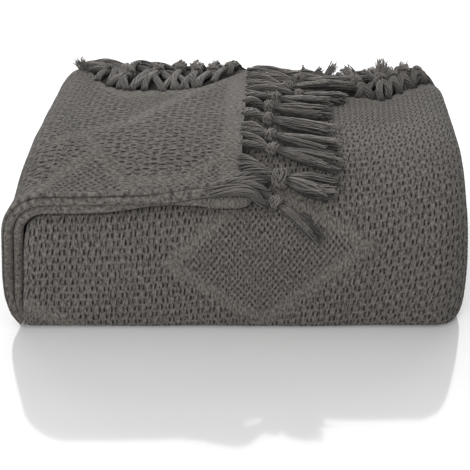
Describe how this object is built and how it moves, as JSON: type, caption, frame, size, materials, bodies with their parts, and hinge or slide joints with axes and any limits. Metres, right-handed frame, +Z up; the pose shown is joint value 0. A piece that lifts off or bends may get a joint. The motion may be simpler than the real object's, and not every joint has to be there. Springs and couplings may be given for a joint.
{
  "type": "folded waffle bedspread",
  "caption": "Waffle bedspread folded into a soft block, its upper part brought over the left end, with knotted fringe on its hems.",
  "frame": {"origin": "middle of the underside of the whole folded bedspread", "axes": "+X along the pack from the folded left end to the right, +Y from the big front fold to the back folds, +Z up"},
  "size_m": [0.4874, 0.3368, 0.1963],
  "materials": {
    "cloth": "matte cotton waffle weave, dark taupe grey",
    "yarn": "matte plied cotton yarn, dark taupe grey"
  },
  "bodies": {
    "root": {"cloth": "cloth", "fringe_side": "yarn", "fringe_back_left": "yarn", "fringe_back_right": "yarn"}
  },
  "joints": []
}
